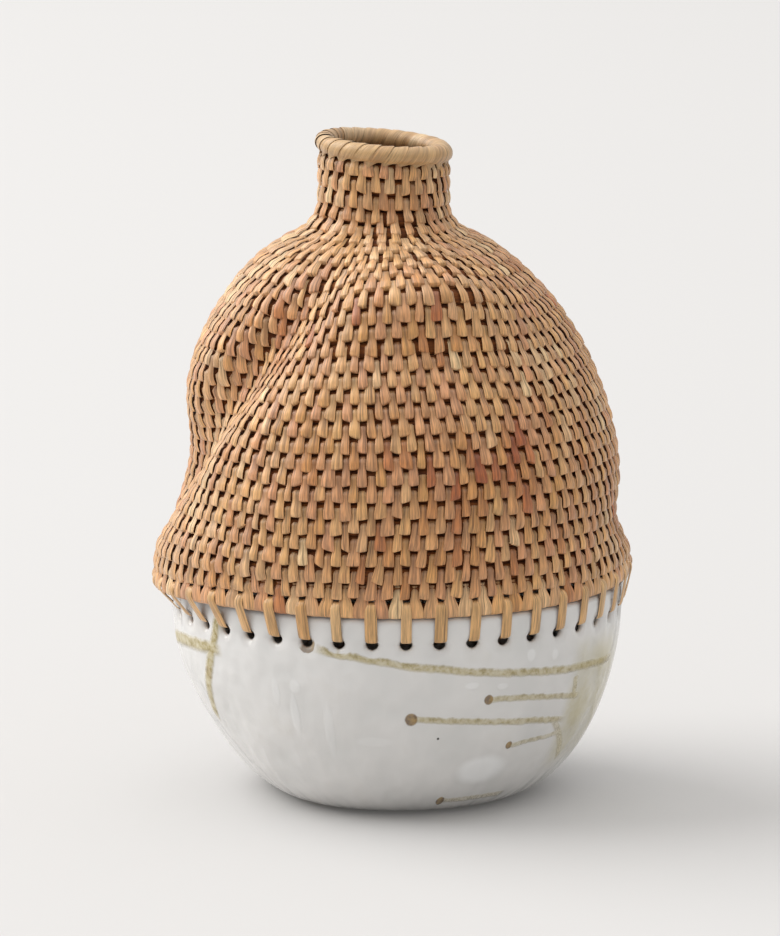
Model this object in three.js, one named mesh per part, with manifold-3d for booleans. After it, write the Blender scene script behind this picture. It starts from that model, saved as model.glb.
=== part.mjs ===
// A vase in two crafts: a glazed stoneware bowl whose pierced rim carries a coiled grass basket with a narrow neck.
// Millimetres, +Z up. The bowl stands on z = 0 with its axis on Z, and the front of the vase faces -Y.
// Angles go round the axis from the front, positive towards +X.
import * as THREE from "three";
import { mergeVertices } from "three/addons/utils/BufferGeometryUtils.js";
import Module from "manifold-3d";

const { smoothstep, degToRad, lerp, euclideanModulo } = THREE.MathUtils;

// Stoneware bowl: a flat foot and a quarter ellipse up to the rim
const bowlHeight = 99.2;
const footRadius = 50;
const rimRadius = 103.5;
const bowlWall = 5.5;
const bowlFloor = 7;
const lipBevel = 1.6;

// Leaf strips that lace the basket to the bowl
const lacingCount = 42;
const lacingPhase = degToRad(2.2);
const holeDrop = 12.2;
const strapWidth = 4;
const strapThickness = 0.9;

// Outline of the basket, before it was pushed out of round by hand
const bodyTaper = 1.2;
const bodyRise = 38.8;
const bellyRise = 59;
const shoulderRise = 118;
const shoulderSlope = degToRad(24);
const shoulderLength = 35;
const neckFillet = 15.5;
const neckRadius = 30;
const neckHeight = 28.3;
const mouthRadius = 29.5;

// The neck stands off the axis, and its mouth is tilted
const neckShiftX = -6;
const neckShiftY = 4;
const shiftDepth = 105;
const mouthTilt = degToRad(5);
const tiltDepth = 5;

// Bound coil that the basket is wound from, and the thicker ring round the mouth
const coilHeight = 6.4;
const coilDepth = 6.6;
const coilGap = 0.6;
const coilProud = 1.2;
const tipHeight = 0.5;
const tipDepth = 3.2;
const mouthRingHeight = 7.5;
const mouthRingWidth = 8;

// Clear distance between pieces that touch
const fit = 0.3;

// Facets
const bowlFacets = 2 * lacingCount;
const wallBands = 7;
const innerBands = 5;
const holeSides = 8;
const turnSteps = 24;
const climbSteps = 8;
const tipSteps = 2;
const coilSides = 6;
const mouthSteps = 48;
const mouthSides = 8;
const outlineSteps = 110;

// Fold pressed into the basket from the low left up to the middle of the shoulder
const foldAngle = degToRad(-58);
const foldRise = 89;
const foldLength = 85;
const foldWidth = 15;
const foldSlant = degToRad(41);
const foldDepth = 15;

// Swell of the shoulder in front of the neck
const swellAngle = degToRad(15);
const swellRise = 137;
const swellLength = 55;
const swellWidth = 16;
const swellOut = 12;
const swellLift = 6;

// Flats of the basket on its left and right
const leftFlatAngle = degToRad(-95);
const leftFlatRise = 59;
const leftFlatLength = 50;
const leftFlatWidth = 25;
const leftFlatDepth = 7;
const rightFlatAngle = degToRad(85);
const rightFlatRise = 65;
const rightFlatLength = 60;
const rightFlatWidth = 50;
const rightFlatDepth = 2;

// Waist drawn in over the edge on the right
const waistAngle = degToRad(95);
const waistRise = 27;
const waistLength = 45;
const waistWidth = 14;
const waistDepth = 3.4;

// Rounds that sag at the front left, and the shoulder above them that is pulled out
const sagAngle = degToRad(-38);
const sagRise = 42;
const sagLength = 40;
const sagWidth = 35;
const sagOut = 3;
const sagDrop = 6;
const pullAngle = degToRad(-80);
const pullRise = 150;
const pullLength = 45;
const pullWidth = 14;
const pullOut = 2;

// Edge of the basket that has slid over the bowl's lip on both sides
const leftSlideAngle = degToRad(-95);
const leftSlideLength = 100;
const leftSlide = 9;
const leftSlideFade = 30;
const rightSlideAngle = degToRad(100);
const rightSlideLength = 25;
const rightSlide = 2.5;
const rightSlideFade = 8;

// Flat that the bowl got at its lower left while it was soft
const bowlFlatAngle = degToRad(-72);
const bowlFlatRise = 20;
const bowlFlatLength = 55;
const bowlFlatWidth = 30;
const bowlFlatDepth = 7;

// A push reaches as far round the wall as its reach measures on the bowl's rim.
const pushRadius = rimRadius;
// Pushes come in over this height above the rim coil, and die out over this height below and above the neck's root.
const pushFade = 20;
const neckFade = 12;

const bodyHeight = bowlHeight + bodyRise;
const shoulderTop = bodyHeight + shoulderRise;
const neckRoot = shoulderTop + neckFillet * Math.cos(shoulderSlope);
const mouthTop = neckRoot + neckHeight;
const bowlFacetAngle = (2 * Math.PI) / bowlFacets;
const firstFacet = lacingPhase - bowlFacetAngle / 2;

// Every push has its middle, its reach along and across its slant, and how far it goes out and up.
const basketPushes = [
  { angle: foldAngle, rise: foldRise, along: foldLength, across: foldWidth, slant: foldSlant, out: -foldDepth },
  { angle: swellAngle, rise: swellRise, along: swellLength, across: swellWidth, out: swellOut, lift: swellLift },
  { angle: leftFlatAngle, rise: leftFlatRise, along: leftFlatLength, across: leftFlatWidth, out: -leftFlatDepth },
  { angle: rightFlatAngle, rise: rightFlatRise, along: rightFlatLength, across: rightFlatWidth, out: -rightFlatDepth },
  { angle: sagAngle, rise: sagRise, along: sagLength, across: sagWidth, out: sagOut, lift: -sagDrop },
  { angle: waistAngle, rise: waistRise, along: waistLength, across: waistWidth, out: -waistDepth },
  { angle: pullAngle, rise: pullRise, along: pullLength, across: pullWidth, out: pullOut },
];
const bowlFlat = {
  angle: bowlFlatAngle,
  rise: bowlFlatRise,
  along: bowlFlatLength,
  across: bowlFlatWidth,
};
const rimSlides = [
  { angle: leftSlideAngle, along: leftSlideLength, slide: leftSlide, fade: leftSlideFade },
  { angle: rightSlideAngle, along: rightSlideLength, slide: rightSlide, fade: rightSlideFade },
];

const glaze = new THREE.MeshStandardMaterial({ color: 0xdad8d4, roughness: 0.18, metalness: 0 });
const boundCoil = new THREE.MeshStandardMaterial({ color: 0xb58d60, roughness: 0.8, metalness: 0 });
const leafStrap = new THREE.MeshStandardMaterial({ color: 0xc69c6d, roughness: 0.7, metalness: 0 });
const mouthLeaf = new THREE.MeshStandardMaterial({ color: 0xbf9a6c, roughness: 0.75, metalness: 0 });

const wasm = await Module();
wasm.setup();

const vase = new THREE.Group();

function addPiece(name, geometry, material) {
  const piece = new THREE.Mesh(geometry, material);
  piece.name = name;
  vase.add(piece);
  return piece;
}

function solidOf(geometry) {
  const bare = geometry.clone();
  bare.deleteAttribute("normal");
  bare.deleteAttribute("uv");
  const welded = mergeVertices(bare, 1e-3);
  const vertProperties = welded.attributes.position.array;
  const triVerts = new Uint32Array(welded.index.array);
  return new wasm.Manifold(new wasm.Mesh({ numProp: 3, vertProperties, triVerts }));
}

function geometryOf(solid) {
  const mesh = solid.getMesh();
  const geometry = new THREE.BufferGeometry();
  geometry.setAttribute("position", new THREE.BufferAttribute(mesh.vertProperties, 3));
  geometry.setIndex(new THREE.BufferAttribute(mesh.triVerts, 1));
  geometry.computeVertexNormals();
  return geometry;
}

// Distance round the wall from the middle of a push or slide.
function distanceRound(push, angle) {
  const turn = euclideanModulo(angle - push.angle + Math.PI, 2 * Math.PI) - Math.PI;
  return turn * pushRadius;
}

// Share of a push that is felt at an angle and a height.
function pushShare(push, base, angle, height) {
  const round = distanceRound(push, angle);
  const up = height - base - push.rise;
  const slant = push.slant ?? 0;
  const along = round * Math.cos(slant) + up * Math.sin(slant);
  const across = up * Math.cos(slant) - round * Math.sin(slant);
  return Math.exp(-((along / push.along) ** 2) - (across / push.across) ** 2);
}

// A point of the wall's section plane, set at its angle, with the neck's shift and tilt.
function place(radius, height, angle) {
  const shift = smoothstep(height, shoulderTop - shiftDepth, neckRoot);
  const tilt = smoothstep(height, shoulderTop - tiltDepth, mouthTop);
  const x = radius * Math.sin(angle);
  const y = -radius * Math.cos(angle);
  return new THREE.Vector3(
    x + neckShiftX * shift,
    y + neckShiftY * shift,
    height - Math.tan(mouthTilt) * x * tilt,
  );
}

// Bowl

const innerRim = rimRadius - bowlWall;
const innerFoot = footRadius - bowlWall / 2;
const quarter = Math.PI / 2;
const outerWall = new THREE.EllipseCurve(footRadius, bowlHeight, rimRadius - footRadius, bowlHeight, -quarter, 0);
const innerDepth = bowlHeight - bowlFloor;
const innerWall = new THREE.EllipseCurve(innerFoot, bowlHeight, innerRim - innerFoot, innerDepth, -quarter, 0);
const lipFoot = bowlHeight - lipBevel;
const bowlOutside = [...outerWall.getPoints(wallBands).slice(0, -1), new THREE.Vector2(rimRadius, lipFoot)];
const bowlInside = [...innerWall.getPoints(innerBands).slice(0, -1), new THREE.Vector2(innerRim, lipFoot)];

// Foot, outside, lip and inside of the bowl, from the axis round to the axis.
const bowlProfile = [
  new THREE.Vector2(0, 0),
  ...bowlOutside,
  new THREE.Vector2(rimRadius - lipBevel, bowlHeight),
  new THREE.Vector2(innerRim + lipBevel, bowlHeight),
  ...bowlInside.toReversed(),
  new THREE.Vector2(0, bowlFloor),
];

// Radius of one side of the bowl at a height, at the middle of a facet.
function bowlRadius(side, height) {
  const above = side.findIndex((point) => point.y >= height);
  const low = side[above - 1];
  const high = side[above];
  const radius = lerp(low.x, high.x, (height - low.y) / (high.y - low.y));
  return radius * Math.cos(bowlFacetAngle / 2);
}

// The bowl's flat dies out towards its rim, which stays round for the lacing.
function bowlPush(angle, height) {
  const fade = 1 - smoothstep(height, (bowlHeight - holeDrop) / 2, bowlHeight - 2 * holeDrop);
  return -bowlFlatDepth * fade * pushShare(bowlFlat, 0, angle, height);
}

const holeHeight = bowlHeight - holeDrop;
const holeRadius = Math.hypot(strapWidth / 2, strapThickness) + fit;
const lacingStep = (2 * Math.PI) / lacingCount;
const lacingAngles = Array.from({ length: lacingCount }, (_, i) => lacingPhase + i * lacingStep);

function holeCutter(angle) {
  const cornerRadius = holeRadius / Math.cos(Math.PI / holeSides);
  const cutter = new THREE.CylinderGeometry(cornerRadius, cornerRadius, 4 * bowlWall, holeSides);
  cutter.translate(0, -(rimRadius - bowlWall / 2), 0);
  cutter.rotateZ(angle);
  cutter.translate(0, 0, holeHeight);
  return solidOf(cutter);
}

function bowlGeometry() {
  const bowl = new THREE.LatheGeometry(bowlProfile, bowlFacets, firstFacet);
  bowl.rotateX(Math.PI / 2);
  const points = bowl.attributes.position;
  for (let i = 0; i < points.count; i += 1) {
    const radius = Math.hypot(points.getX(i), points.getY(i));
    const onAxis = radius < fit;
    const angle = Math.atan2(points.getX(i), -points.getY(i));
    const grow = onAxis ? 1 : 1 + bowlPush(angle, points.getZ(i)) / radius;
    points.setXY(i, points.getX(i) * grow, points.getY(i) * grow);
  }
  const holes = lacingAngles.map(holeCutter);
  return geometryOf(holes.reduce((solid, hole) => solid.subtract(hole), solidOf(bowl)));
}

// Basket outline

// The lacing passes between the rim coil and the first round of the wall.
const lacingGap = strapThickness + 3 * fit;
const wallStart = fit + coilHeight + lacingGap - coilGap / 2;

// It rises straight from the rim until the first round of the wall is laid, and its shoulder slopes up to the neck.
function basketOutline() {
  const edgeRadius = rimRadius + coilProud;
  const bodyRadius = edgeRadius - bodyTaper;
  const firstRound = bowlHeight + wallStart + coilHeight;
  const bend = (firstRound + bodyHeight) / 2;
  const outline = new THREE.Path();
  outline.moveTo(edgeRadius, bowlHeight);
  outline.lineTo(edgeRadius, firstRound);
  outline.bezierCurveTo(edgeRadius, bend, bodyRadius, bend, bodyRadius, bodyHeight);
  const filletCentre = neckRadius + neckFillet;
  const shoulderEnd = new THREE.Vector2(filletCentre - neckFillet * Math.sin(shoulderSlope), shoulderTop);
  const slope = new THREE.Vector2(Math.cos(shoulderSlope), -Math.sin(shoulderSlope));
  const hold = shoulderEnd.clone().addScaledVector(slope, shoulderLength);
  outline.bezierCurveTo(bodyRadius, bodyHeight + bellyRise, hold.x, hold.y, shoulderEnd.x, shoulderEnd.y);
  outline.absarc(filletCentre, neckRoot, neckFillet, -Math.PI / 2 - shoulderSlope, -Math.PI, true);
  outline.quadraticCurveTo(neckRadius, neckRoot + neckHeight / 2, mouthRadius, mouthTop);
  return outline.getSpacedPoints(outlineSteps);
}

const outlinePoints = basketOutline();

// How far the rim coil has gone out and down at an angle. It slides out to the lip's edge, rolls over it and
// hangs down outside, always as far from the bowl as the fit asks.
function rimMove(angle) {
  const shares = rimSlides.map((slide) => Math.exp(-((distanceRound(slide, angle) / slide.along) ** 2)));
  const sum = (key) => rimSlides.reduce((total, slide, i) => total + slide[key] * shares[i], 0);
  const slid = sum("slide");
  const fade = sum("fade") / (shares[0] + shares[1]);
  const toEdge = coilDepth / 2 - coilProud;
  const above = fit + coilHeight / 2;
  const facetSag = rimRadius * (1 / Math.cos(lacingStep / 2) - 1);
  const beside = fit + coilDepth / 2 + facetSag;
  const roll = (quarter * (above + beside)) / 2;
  const rolled = quarter * THREE.MathUtils.clamp((slid - toEdge) / roll, 0, 1);
  const hung = Math.max(slid - toEdge - roll, 0);
  const out = Math.min(slid, toEdge) + beside * Math.sin(rolled);
  return { out, down: above * (1 - Math.cos(rolled)) + hung, fade };
}

// Middle line of the coils at an angle, as points with their distance along it and their outward direction.
function coilLine(angle) {
  const edge = rimMove(angle);
  const outer = outlinePoints.map((point) => {
    const belowNeck = 1 - smoothstep(point.y, neckRoot - neckFade, neckRoot + neckFade);
    const aboveRim = smoothstep(point.y, bowlHeight + wallStart, bowlHeight + wallStart + pushFade);
    const aboveCoil = Math.max(point.y - bowlHeight - coilHeight, 0);
    const withEdge = Math.exp(-((aboveCoil / edge.fade) ** 4));
    const moved = point.clone();
    moved.x += edge.out * withEdge;
    moved.y -= edge.down * withEdge;
    for (const push of basketPushes) {
      const share = belowNeck * pushShare(push, bowlHeight, angle, point.y);
      moved.x += push.out * share * aboveRim;
      moved.y += (push.lift ?? 0) * share * aboveRim;
    }
    return moved;
  });
  const line = outer.map((point, i) => {
    const before = outer[Math.max(i - 1, 0)];
    const after = outer[Math.min(i + 1, outer.length - 1)];
    const up = after.clone().sub(before).normalize();
    const out = new THREE.Vector2(up.y, -up.x);
    return { centre: point.clone().addScaledVector(out, -coilDepth / 2), out, along: 0 };
  });
  for (let i = 1; i < line.length; i += 1) {
    line[i].along = line[i - 1].along + line[i].centre.distanceTo(line[i - 1].centre);
  }
  return line;
}

function pointAlong(line, along) {
  const last = line.findIndex((point, i) => i > 0 && (point.along >= along || i === line.length - 1));
  const from = line[last - 1];
  const to = line[last];
  const share = (along - from.along) / (to.along - from.along);
  return {
    centre: from.centre.clone().lerp(to.centre, share),
    out: from.out.clone().lerp(to.out, share).normalize(),
  };
}

// The wall is wound between the lacing gap over the rim coil and the underside of the mouth ring.
const wallSpan = (line) => line[line.length - 1].along - mouthRingHeight - fit + coilGap / 2 - wallStart;
const turnAngles = Array.from({ length: turnSteps }, (_, i) => (i * 2 * Math.PI) / turnSteps);
const shortestSpan = Math.min(...turnAngles.map((angle) => wallSpan(coilLine(angle))));
const rounds = Math.floor(shortestSpan / (coilHeight + coilGap));

// The coil lies level and climbs to the next round at the back.
const climb = climbSteps / turnSteps;
const seamAngle = Math.PI * (1 + climb);
const climbed = (turn) => smoothstep(turn - Math.floor(turn), 1 - climb, 1);

// Section of the coil after a number of turns, as its corners in space.
// Its tapered first end fills the wedge under the first climb, and its last end the wedge over the last one.
function coilCorners(turn) {
  const angle = seamAngle + 2 * Math.PI * turn;
  const line = coilLine(angle);
  const span = wallSpan(line);
  const pitch = span / rounds;
  const spare = pitch - coilHeight;
  const rise = climbed(turn);
  let height = coilHeight;
  let middle = (Math.floor(turn) + rise + 0.5) * pitch;
  if (turn < 0) {
    height = Math.max(rise * pitch - spare, tipHeight);
    middle = (spare + height) / 2;
  } else if (turn > rounds - climb) {
    height = Math.max((1 - rise) * pitch - spare, tipHeight);
    middle = span - (spare + height) / 2;
  }
  const depth = lerp(tipDepth, coilDepth, height / coilHeight);
  return sectionCorners(pointAlong(line, wallStart + middle), angle, depth, height, coilSides);
}

// Corners of a round section in its own plane, x outwards and y upwards, with flats outside and inside.
function sectionPlan(depth, height, sides) {
  const flat = Math.cos(Math.PI / sides);
  const top = sides % 4 === 0 ? flat : 1;
  return Array.from({ length: sides }, (_, i) => {
    const around = ((i + 0.5) * 2 * Math.PI) / sides;
    const outward = ((depth / 2) * Math.cos(around)) / flat;
    return new THREE.Vector2(outward, ((height / 2) * Math.sin(around)) / top);
  });
}

// The same corners in space, on a point of the wall and square to its outward direction.
function sectionCorners({ centre, out }, angle, depth, height, sides) {
  return sectionPlan(depth, height, sides).map((corner) => {
    const radius = centre.x + out.x * corner.x - out.y * corner.y;
    return place(radius, centre.y + out.y * corner.x + out.x * corner.y, angle);
  });
}

// Tube through rings of corners, closed on itself or capped at both ends.
function tubeGeometry(rings, closed) {
  const sides = rings[0].length;
  const triangles = [];
  const bands = closed ? rings.length : rings.length - 1;
  for (let i = 0; i < bands; i += 1) {
    const here = i * sides;
    const next = ((i + 1) % rings.length) * sides;
    for (let j = 0; j < sides; j += 1) {
      const k = (j + 1) % sides;
      triangles.push(here + j, next + j, next + k, here + j, next + k, here + k);
    }
  }
  if (!closed) {
    const last = (rings.length - 1) * sides;
    for (let j = 1; j < sides - 1; j += 1) {
      triangles.push(0, j, j + 1, last, last + j + 1, last + j);
    }
  }
  const geometry = new THREE.BufferGeometry();
  geometry.setAttribute("position", new THREE.Float32BufferAttribute(rings.flat().flatMap((p) => p.toArray()), 3));
  geometry.setIndex(triangles);
  geometry.computeVertexNormals();
  return geometry;
}

// Least gap between neighbouring rounds, over points spread across their facing sides.
function leastGap() {
  const spread = (from, to) => [0, 0.25, 0.5, 0.75].map((share) => from.clone().lerp(to, share));
  const upperSide = (corners) => [...spread(corners[1], corners[0]), ...spread(corners[1], corners[2])];
  const lowerSide = (corners) => [...spread(corners[4], corners[3]), ...spread(corners[4], corners[5])];
  const halfStep = 0.5 / turnSteps;
  let least = Infinity;
  for (let i = 2 * coilStart * turnSteps; i < 2 * (coilEnd - 1) * turnSteps; i += 1) {
    const below = upperSide(coilCorners(i * halfStep));
    for (const shift of [-halfStep, 0, halfStep]) {
      const above = lowerSide(coilCorners(i * halfStep + 1 + shift));
      for (const p of below) {
        for (const q of above) least = Math.min(least, p.distanceTo(q));
      }
    }
  }
  return least;
}

// Lengths of coil, spliced end to end

const coilLengths = ["lower_wall_coil", "upper_wall_coil", "shoulder_coil", "neck_coil"];
const spliceTurn = 2 / turnSteps;
const coilStart = (tipSteps - climbSteps) / turnSteps;
const coilEnd = rounds - tipSteps / turnSteps;

function spliceAt(i) {
  if (i === 0) return coilStart;
  return i === coilLengths.length ? coilEnd : Math.round((i * rounds) / coilLengths.length) + spliceTurn;
}

function coilLength(i) {
  const from = spliceAt(i);
  const to = spliceAt(i + 1);
  const steps = Math.round((to - from) * turnSteps);
  const rings = Array.from({ length: steps + 1 }, (_, k) => coilCorners(from + k / turnSteps));
  if (i > 0) drawBack(rings[0], rings[1]);
  if (i < coilLengths.length - 1) drawBack(rings[steps], rings[steps - 1]);
  return tubeGeometry(rings, false);
}

// Draws the end of a length back by half a fit, so that it clears the length that it is spliced to.
function drawBack(end, inner) {
  const share = fit / 2 / end[0].distanceTo(inner[0]);
  end.forEach((corner, j) => corner.lerp(inner[j], share));
}

// Rim coil and mouth ring

const rimCoilMiddle = bowlHeight + fit + coilHeight / 2;

function rimSection(angle) {
  const { out, down } = rimMove(angle);
  const radius = rimRadius + coilProud - coilDepth / 2 + out;
  return { centre: new THREE.Vector2(radius, rimCoilMiddle - down), out: new THREE.Vector2(1, 0) };
}

// Middle of the rim coil under both edges of a strap, on the facet that the strap lies across.
function rimUnderStrap(angle) {
  const half = lacingStep / 2;
  const before = rimSection(angle - half).centre;
  const after = rimSection(angle + half).centre;
  const facet = (before.x + after.x) * Math.sin(half);
  return [-strapWidth / 2, strapWidth / 2].map((edge) => {
    const middle = before.clone().lerp(after, 0.5 + edge / facet);
    middle.x *= Math.cos(half);
    return middle;
  });
}

function rimCoilGeometry() {
  const rings = lacingAngles.map((lacing) => {
    const angle = lacing - lacingStep / 2;
    return sectionCorners(rimSection(angle), angle, coilDepth, coilHeight, coilSides);
  });
  return tubeGeometry(rings, true);
}

function mouthRingGeometry() {
  const rings = Array.from({ length: mouthSteps }, (_, i) => {
    const angle = (i * 2 * Math.PI) / mouthSteps;
    const line = coilLine(angle);
    const seat = pointAlong(line, line[line.length - 1].along - mouthRingHeight / 2);
    return sectionCorners(seat, angle, mouthRingWidth, mouthRingHeight, mouthSides);
  });
  return tubeGeometry(rings, true);
}

// Lacing

function convexHull(points) {
  const sorted = [...points].sort((a, b) => a.x - b.x || a.y - b.y);
  const half = (list) => {
    const chain = [];
    for (const p of list) {
      while (chain.length > 1) {
        const a = chain[chain.length - 2];
        const b = chain[chain.length - 1];
        if ((b.x - a.x) * (p.y - a.y) - (b.y - a.y) * (p.x - a.x) > 0) break;
        chain.pop();
      }
      chain.push(p);
    }
    return chain.slice(0, -1);
  };
  return [...half(sorted), ...half(sorted.reverse())];
}

// Convex outline grown by a distance, corner by corner.
function grown(outline, distance) {
  return outline.map((point, i) => {
    const before = outline[(i + outline.length - 1) % outline.length];
    const after = outline[(i + 1) % outline.length];
    const first = point.clone().sub(before).normalize();
    const second = after.clone().sub(point).normalize();
    const corner = new THREE.Vector2(first.y + second.y, -first.x - second.x).normalize();
    const stretch = distance / Math.sqrt((1 + first.dot(second)) / 2);
    return point.clone().addScaledVector(corner, stretch);
  });
}

// A closed strip round the rim coil and the bowl's edge, through one hole of the bowl.
function lacingGeometry(angle) {
  const holeTop = holeHeight + strapThickness + fit;
  const plan = sectionPlan(coilDepth, coilHeight, coilSides);
  const held = convexHull([
    ...rimUnderStrap(angle).flatMap((middle) => plan.map((corner) => corner.clone().add(middle))),
    new THREE.Vector2(bowlRadius(bowlOutside, holeTop), holeTop),
    new THREE.Vector2(bowlRadius(bowlInside, holeTop), holeTop),
    new THREE.Vector2(bowlRadius(bowlOutside, lipFoot), lipFoot),
    new THREE.Vector2(bowlRadius(bowlInside, lipFoot), lipFoot),
    new THREE.Vector2(rimRadius - lipBevel, bowlHeight),
    new THREE.Vector2(innerRim + lipBevel, bowlHeight),
  ]);
  const strip = new THREE.Shape(grown(held, fit + strapThickness));
  strip.holes.push(new THREE.Path(grown(held, fit)));
  const band = new THREE.ExtrudeGeometry(strip, { depth: strapWidth, bevelEnabled: false, curveSegments: 1 });
  band.translate(0, 0, -strapWidth / 2);
  return band;
}

function addLacing(angle, i) {
  const name = `lacing_${String(i + 1).padStart(2, "0")}`;
  const strap = addPiece(name, lacingGeometry(angle), leafStrap);
  const outward = new THREE.Vector3(Math.sin(angle), -Math.cos(angle), 0);
  const up = new THREE.Vector3(0, 0, 1);
  const sideways = new THREE.Vector3().crossVectors(outward, up);
  strap.quaternion.setFromRotationMatrix(new THREE.Matrix4().makeBasis(outward, up, sideways));
}

addPiece("ceramic_bowl", bowlGeometry(), glaze);
addPiece("rim_coil", rimCoilGeometry(), boundCoil);
coilLengths.forEach((name, i) => addPiece(name, coilLength(i), boundCoil));
addPiece("mouth_ring", mouthRingGeometry(), mouthLeaf);
lacingAngles.forEach(addLacing);

console.log(`${rounds} rounds of coil, least gap ${leastGap().toFixed(2)} mm`);

export default vase;
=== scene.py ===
# A glazed stoneware bowl whose pierced rim carries a coiled leaf basket with a narrow neck.
# Metres, +Z up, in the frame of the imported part. The front faces -Y, and angles go from there towards +X.
import math

import bmesh
import bpy
import numpy as np
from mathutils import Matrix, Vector


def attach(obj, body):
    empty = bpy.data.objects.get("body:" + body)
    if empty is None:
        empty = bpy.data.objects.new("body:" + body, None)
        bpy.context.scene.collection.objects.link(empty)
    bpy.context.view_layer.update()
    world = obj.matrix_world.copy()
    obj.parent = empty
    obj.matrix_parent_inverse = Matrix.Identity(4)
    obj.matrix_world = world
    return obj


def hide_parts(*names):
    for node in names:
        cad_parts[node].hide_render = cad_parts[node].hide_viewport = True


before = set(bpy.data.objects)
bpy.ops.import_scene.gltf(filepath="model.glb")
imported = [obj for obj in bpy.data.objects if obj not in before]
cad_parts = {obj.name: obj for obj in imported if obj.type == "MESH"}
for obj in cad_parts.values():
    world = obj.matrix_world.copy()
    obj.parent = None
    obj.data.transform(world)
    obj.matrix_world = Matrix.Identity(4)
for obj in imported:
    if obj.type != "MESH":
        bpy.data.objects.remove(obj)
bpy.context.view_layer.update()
metre = 0.001
dice = np.random.default_rng(11)

# Sizes that the whole vase shares, in millimetres and degrees
vase = {
    "bowlHeight": 99.2,
    "rimRadius": 103.5,
    "lacingCount": 42,
    "lacingPhase": 2.2,
    "holeDrop": 12.2,
    "bodyTaper": 1.2,
    "bodyRise": 38.8,
    "bellyRise": 59.0,
    "shoulderRise": 118.0,
    "shoulderSlope": 24.0,
    "shoulderLength": 35.0,
    "neckFillet": 15.5,
    "neckRadius": 30.0,
    "neckHeight": 28.3,
    "mouthRadius": 29.5,
    "neckShiftX": -6.0,
    "neckShiftY": 4.0,
    "shiftDepth": 105.0,
    "mouthTilt": 5.0,
    "tiltDepth": 5.0,
    "coilHeight": 6.4,
    "coilDepth": 6.6,
    "coilGap": 0.6,
    "coilProud": 1.2,
    "tipHeight": 0.5,
    "tipDepth": 3.2,
    "mouthRingHeight": 7.5,
    "mouthRingWidth": 8.0,
    "lacingGap": 1.8,
    "fit": 0.3,
    "rounds": 30,
    "climb": 1 / 3,
    "pushFade": 20.0,
    "neckFade": 12.0,
}

# Places where the basket is pressed in or swells out: angle, rise over the rim, reach along and across
basketPushes = [
    {"angle": -58, "rise": 89, "along": 85, "across": 15, "slant": 41, "out": -15, "lift": 0},
    {"angle": 15, "rise": 137, "along": 55, "across": 16, "slant": 0, "out": 12, "lift": 6},
    {"angle": -95, "rise": 59, "along": 50, "across": 25, "slant": 0, "out": -7, "lift": 0},
    {"angle": 85, "rise": 65, "along": 60, "across": 50, "slant": 0, "out": -2, "lift": 0},
    {"angle": -38, "rise": 42, "along": 40, "across": 35, "slant": 0, "out": 3, "lift": -6},
    {"angle": 95, "rise": 27, "along": 45, "across": 14, "slant": 0, "out": -3.4, "lift": 0},
    {"angle": -80, "rise": 150, "along": 45, "across": 14, "slant": 0, "out": 2, "lift": 0},
]
rimSlides = [
    {"angle": -95, "along": 100, "slide": 9, "fade": 30},
    {"angle": 100, "along": 25, "slide": 2.5, "fade": 8},
]

bodyTop = vase["bowlHeight"] + vase["bodyRise"]
shoulderTop = bodyTop + vase["shoulderRise"]
shoulderSlope = math.radians(vase["shoulderSlope"])
neckRoot = shoulderTop + vase["neckFillet"] * math.cos(shoulderSlope)
mouthTop = neckRoot + vase["neckHeight"]
wallStart = vase["fit"] + vase["coilHeight"] + vase["lacingGap"] - vase["coilGap"] / 2
rimMiddle = vase["bowlHeight"] + vase["fit"] + vase["coilHeight"] / 2
holeHeight = vase["bowlHeight"] - vase["holeDrop"]
lacingStep = 2 * math.pi / vase["lacingCount"]
lacingAngles = math.radians(vase["lacingPhase"]) + np.arange(vase["lacingCount"]) * lacingStep
seamAngle = math.pi * (1 + vase["climb"])


def smooth(x, low, high):
    t = np.clip((x - low) / (high - low), 0, 1)
    return t * t * (3 - 2 * t)


def mix(a, b, t):
    return a + (b - a) * t


def roundDistance(push, angle):
    turn = (angle - math.radians(push["angle"]) + math.pi) % (2 * math.pi) - math.pi
    return turn * vase["rimRadius"]


def pushShare(push, base, angle, height):
    around = roundDistance(push, angle)
    up = height - base - push["rise"]
    slant = math.radians(push["slant"])
    along = around * math.cos(slant) + up * math.sin(slant)
    across = up * math.cos(slant) - around * math.sin(slant)
    return np.exp(-((along / push["along"]) ** 2) - (across / push["across"]) ** 2)


# Puts a point of the section plane at its angle, with the neck's shift and tilt, in metres
def place(radius, height, angle):
    shift = smooth(height, shoulderTop - vase["shiftDepth"], neckRoot)
    tilt = smooth(height, shoulderTop - vase["tiltDepth"], mouthTop)
    x = radius * np.sin(angle)
    y = -radius * np.cos(angle)
    z = height - math.tan(math.radians(vase["mouthTilt"])) * x * tilt
    return np.stack([x + vase["neckShiftX"] * shift, y + vase["neckShiftY"] * shift, z], -1) * metre


def bezier(a, b, c, d, t):
    t = t[:, None]
    a, b, c, d = (np.array(point) for point in (a, b, c, d))
    return a * (1 - t) ** 3 + 3 * b * t * (1 - t) ** 2 + 3 * c * t * t * (1 - t) + d * t ** 3


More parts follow.
